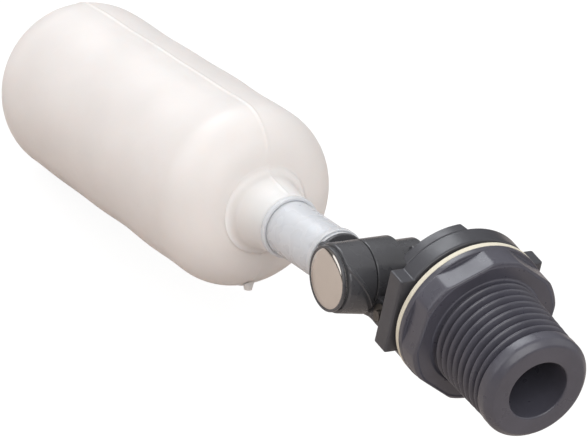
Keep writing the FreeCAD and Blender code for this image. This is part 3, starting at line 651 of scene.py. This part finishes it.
class VALVE_OT_arm(bpy.types.Operator):
    """Make the outer knuckle half, its shoulder and spigot, the tube and the two collars"""
    bl_idname = "valve.arm"
    bl_label = "Arm"

    def execute(self, context):
        tone = context.scene.valve_finish
        made = moulded_pvc("pvc_moulded_knuckle", tuple(tone.lever), 0.27)
        face, end, radius = 10.15, span("arm_knuckle")[1][1], 6.3
        rib_point, rib_normal = (-4.645, 15.63, 4.256), (-0.1844, 0.784, -0.5929)
        angle = np.linspace(0, 2 * np.pi, 480, endpoint=False)[None, :]
        y = np.concatenate([face + 0.2 * (1 - np.cos(np.linspace(0, np.pi / 2, 5))),
                            np.linspace(face + 0.3, end - 0.5, 44),
                            end - 0.4 * (1 - np.sin(np.linspace(0, np.pi / 2, 6)))])[:, None]
        drawn = np.concatenate([0.2 * (1 - np.sin(np.linspace(0, np.pi / 2, 5))), np.zeros(44),
                                0.4 * (1 - np.cos(np.linspace(0, np.pi / 2, 6)))])[:, None]
        # distance below the rib's line, measured across it on the barrel's skin
        px, pz = radius * np.cos(angle), radius * np.sin(angle)
        below = (rib_normal[0] * (px - rib_point[0]) + rib_normal[1] * (y - rib_point[1])
                 + rib_normal[2] * (pz - rib_point[2]))
        outward = (-0.955 * px + 0.297 * pz) > 0
        flare = 0.85 * (end - y) / (end - face) * smooth_step(below, 0.2, 1.6)
        rib = 0.38 * np.exp(-((below - 0.45) / 0.36) ** 4) * outward
        groove = 0.10 * np.exp(-((below - 0.45) / 0.14) ** 2) * outward
        skin = radius - drawn + flare + rib - groove
        pocket = softened([(face, 5.9), (face, 5.3), (face + 0.35, 5.3), (face + 0.35, 2.1),
                           (end, 2.1), (end, 5.7)], 0.12, 4, closed=False)
        s = np.concatenate([y + 0 * angle, pocket[::-1, :1] + 0 * angle])
        r = np.concatenate([skin, pocket[::-1, 1:] + 0 * angle])
        settle(surface("knuckle_outer_half", PIN.round(s, r, angle)), made, "arm",
               "lever_plastic", "arm_knuckle")
        block = softened([(face + 0.1 - ARM_SIDE, -4.2), (end - 1 - ARM_SIDE, -4.2),
                          (end - 1 - ARM_SIDE, 4.2), (face + 0.1 - ARM_SIDE, 4.2)], 1.0, 7)
        settle(extruded("knuckle_bridge", ARM, block, 3.0, 7.2, 0.3), made, "arm",
               "lever_plastic", "arm_knuckle")
        spigot = softened([(6.5, 0.05), (6.5, 5.25), (7.3, 5.25), (7.3, 4.1), (16.8, 4.1),
                           (17.6, 3.5), (17.6, 2.6), (9.0, 2.6), (9.0, 0.05)], 0.25, 5,
                          closed=False)
        settle(turned("knuckle_spigot", ARM, spigot, 120, False), made, "arm",
               "lever_plastic", "arm_knuckle")
        clear = tube_polyethylene(tuple(tone.tube))
        tube_bore, tube_radius, tube_start, tube_end = 4.15, 5.18, 7.35, 46.0
        tube = softened([(tube_start, tube_bore), (tube_start, tube_radius),
                         (tube_end, tube_radius), (tube_end, tube_bore)], 0.3, 6)
        settle(turned("tube_extruded", ARM, tube, 128), clear, "arm", "tube_plastic", "arm_tube")
        for name, node, start, stop, radius_out in (
                ("tube_end_collar", "tube_collar", 7.95, 9.25, 5.6),
                ("float_neck_collar", "neck_collar", 24.1, 25.1, 5.9)):
            ring = softened([(start, 5.19), (stop, 5.19), (stop, radius_out),
                             (start, radius_out)], 0.25, 6)
            settle(turned(name, ARM, ring, 128), clear, "arm", "tube_plastic", node)
        return {"FINISHED"}


class VALVE_OT_float(bpy.types.Operator):
    """Make the blow-moulded float: neck, shoulders, long wall with its mould seam and ripples"""
    bl_idname = "valve.float"
    bl_label = "Float"

    def execute(self, context):
        size = context.scene.valve_sizes
        tone = context.scene.valve_finish
        t = np.linspace(0, np.pi / 2, 26)
        near_at, near_corner, near_radius = 42.79, 9.21, 17.55
        far_at, far_corner, far_radius = 101.24, 12.3, 16.88
        near = np.stack([near_at - near_corner * np.cos(t),
                         near_radius - near_corner * (1 - np.sin(t))], -1)
        far = np.stack([far_at + far_corner * np.sin(t),
                        far_radius - far_corner * (1 - np.cos(t))], -1)
        wall = np.linspace(0.03, 0.97, 60)
        wall = np.stack([near_at + (far_at - near_at) * wall,
                         near_radius + (far_radius - near_radius) * wall], -1)
        neck = softened([(34.0, 5.2), (25.12, 5.2), (25.12, 5.9), (27.5, 5.95),
                         (32.9, 6.9), (33.55, 8.34)], 0.9, 9, closed=False)
        cap = np.stack([np.full(8, far_at + far_corner),
                        np.linspace(far_radius - far_corner - 0.4, 0.05, 8)], -1)
        profile = np.concatenate([neck[:-1], near, wall, far, cap])
        # steps gather round the seam, where the skin needs more of them
        u = np.linspace(0, 2 * np.pi, 384, endpoint=False)
        angle = (u + 0.32 * np.sin(2 * u))[None, :]
        s, r = profile[:, :1] + 0 * angle, profile[:, 1:] + 0 * angle
        beside = r * np.cos(angle)
        on_float = smooth_step(s, 26.0, 27.0)
        seam = size.seam / MM * np.exp(-(beside / 0.34) ** 2) * on_float
        # ripples of about a tenth of a millimetre, only on the long wall, sunk under the outline
        ripple = (0.10 * np.sin(s / 5.3 + 1.7 * np.sin(2 * angle)) * np.sin(3 * angle + s / 17.0)
                  + 0.07 * np.sin(s / 2.9 + 2.0 * np.cos(angle)))
        ripple = ripple * smooth_step(s, 40.0, 50.0) * (1 - smooth_step(s, 98.0, 106.0)) - 0.12
        ripple = ripple * smooth_step(r, 12.0, 15.0)
        piece = surface("float_blow_moulded", ARM.round(s, r + ripple + seam, angle), False)
        settle(piece, milky_polyethylene(tuple(tone.float_milk)), "arm", "float_plastic",
               "float_shell")
        return {"FINISHED"}


class VALVE_OT_finishes(bpy.types.Operator):
    """Put the finishes on the carried-over CAD nodes"""
    bl_idname = "valve.finishes"
    bl_label = "Small parts"

    def execute(self, context):
        tone = context.scene.valve_finish
        # painted shade: the turned steel is darkened to 0.22 of its colour so the pin end showing
        # in a gap stays dark
        coat(["pivot_pin", "pivot_clip", "clamp_nut", "lock_washer", "nozzle_seat"],
             stainless("stainless_painted_shade", shade(tuple(tone.steel), 0.22), 0.4, 0.5))
        coat(["float_plug"], milky_polyethylene(tuple(tone.float_milk)))
        coat(["plunger"], plain_polymer("acetal_moulded", tuple(tone.acetal), 0.35))
        coat(["seal_disc", "nozzle_ring"], plain_polymer("nitrile_rubber", tuple(tone.nitrile),
                                                         0.55))
        return {"FINISHED"}


# Where the camera stands, in metres, and the directions of its right, up and back
CAMERA_PLACE = Vector((-0.7955, 0.6066, 0.6182))
CAMERA_RIGHT = Vector((-0.4732, -0.8610, 0.1866))
CAMERA_UP = Vector((0.5397, -0.1159, 0.8339))
CAMERA_BACK = Vector((-0.6963, 0.4953, 0.5195))


def soft_light(name, place_at, target, size, power):
    """A large square area light facing a point."""
    data = bpy.data.lights.new(name, "AREA")
    data.size = size
    data.energy = power
    lamp = bpy.data.objects.new(name, data)
    bpy.context.scene.collection.objects.link(lamp)
    lamp.location = place_at
    lamp.rotation_euler = (Vector(target) - Vector(place_at)).to_track_quat("-Z", "Y").to_euler()
    return lamp


class VALVE_OT_stage(bpy.types.Operator):
    """Add the floor, the soft lights and the camera"""
    bl_idname = "valve.stage"
    bl_label = "Stage"

    def execute(self, context):
        stage = context.scene.valve_stage
        low, high = CAD_BOX
        centre = (low + high) / 2
        # floor: a flat square grid, z = lowest point less a hair
        u, v = np.meshgrid(np.linspace(-3, 3, 9), np.linspace(-3, 3, 9), indexing="ij")
        points = np.stack([u + centre.x, v + centre.y, np.full_like(u, low.z - 0.0004)], -1)
        floor = sheet_of("floor", points)
        # matt paper: seen straight on it is near white and hardly shaded, while what it throws
        # back on the object is duller and warmer
        made, tree, shader = material("floor_matt_paper")
        speck = noise(tree, place(tree), 2.0)
        seen = add(tree, "ShaderNodeLightPath").outputs["Is Camera Ray"]
        thrown = tuple(stage.bounce)
        tone = blend_colours(tree, speck, shade(thrown, 0.97), thrown)
        tone = blend_colours(tree, seen, tone, shade(tuple(stage.floor), 0.12))
        tree.links.new(tone, shader.inputs["Base Color"])
        shader.inputs["Emission Color"].default_value = tuple(stage.floor)
        glow = add(tree, "ShaderNodeMath", {"operation": "MULTIPLY"}, i0=seen, i1=0.92)
        tree.links.new(glow.outputs[0], shader.inputs["Emission Strength"])
        shader.inputs["Roughness"].default_value = 0.9
        floor.data.materials.append(made)
        camera_data = bpy.data.cameras.new("camera")
        camera_data.lens = stage.lens
        camera_data.clip_start = 0.05
        camera_data.clip_end = 20
        camera = bpy.data.objects.new("camera", camera_data)
        context.scene.collection.objects.link(camera)
        turn = Matrix((CAMERA_RIGHT, CAMERA_UP, CAMERA_BACK)).transposed().normalized()
        camera.matrix_world = Matrix.Translation(CAMERA_PLACE) @ turn.to_4x4()
        context.scene.camera = camera
        middle = tuple(centre)
        soft_light("key", (-0.75, 0.2, 0.75), middle, 0.9, stage.key)
        soft_light("fill", (0.3, 0.9, 0.5), middle, 0.9, stage.fill)
        soft_light("side", (-0.3, -0.8, 0.4), middle, 0.7, stage.fill * 0.35)
        back = soft_light("back", tuple(centre + Vector((0.63, 0.07, 0.65))), middle, 0.5,
                          stage.back)
        back.data.color = (0.93, 0.96, 1.0)
        world = bpy.data.worlds.new("studio")
        context.scene.world = world
        world.use_nodes = True
        background = world.node_tree.nodes["Background"]
        # the room is dim at the height of the table and bright overhead
        sky = world.node_tree
        towards = add(sky, "ShaderNodeTexCoord").outputs["Generated"]
        height = add(sky, "ShaderNodeSeparateXYZ", None, Vector=towards).outputs["Z"]
        background.inputs[0].default_value = (1, 1, 1, 1)
        sky.links.new(ramp(sky, height, 0.05, 0.7, stage.sky * 0.12, stage.sky * 1.5),
                      background.inputs[1])
        context.scene.view_settings.view_transform = "Standard"
        return {"FINISHED"}


class VALVE_PT_panel(bpy.types.Panel):
    """Lists the valve's operators and settings"""
    bl_idname = "VALVE_PT_panel"
    bl_label = "Float valve"
    bl_space_type = "VIEW_3D"
    bl_region_type = "UI"
    bl_category = "Float valve"

    def draw(self, context):
        for group in (context.scene.valve_finish, context.scene.valve_sizes,
                      context.scene.valve_stage):
            for name in group.bl_rna.properties.keys():
                if name not in {"rna_type", "name"}:
                    self.layout.prop(group, name)
        for operator in OPERATORS:
            self.layout.operator(operator.bl_idname)


OPERATORS = (VALVE_OT_body, VALVE_OT_nut, VALVE_OT_lever, VALVE_OT_arm, VALVE_OT_float,
             VALVE_OT_finishes, VALVE_OT_stage)
CLASSES = (FinishSettings, SizeSettings, StageSettings) + OPERATORS + (VALVE_PT_panel,)


def register():
    for cls in CLASSES:
        bpy.utils.register_class(cls)
    bpy.types.Scene.valve_finish = PointerProperty(type=FinishSettings)
    bpy.types.Scene.valve_sizes = PointerProperty(type=SizeSettings)
    bpy.types.Scene.valve_stage = PointerProperty(type=StageSettings)


def unregister():
    del bpy.types.Scene.valve_stage
    del bpy.types.Scene.valve_sizes
    del bpy.types.Scene.valve_finish
    for cls in reversed(CLASSES):
        bpy.utils.unregister_class(cls)


def main():
    register()
    bpy.ops.valve.body()
    bpy.ops.valve.nut()
    bpy.ops.valve.lever()
    bpy.ops.valve.arm()
    bpy.ops.valve.float()
    bpy.ops.valve.finishes()
    bpy.ops.valve.stage()


if __name__ == "__main__":
    main()
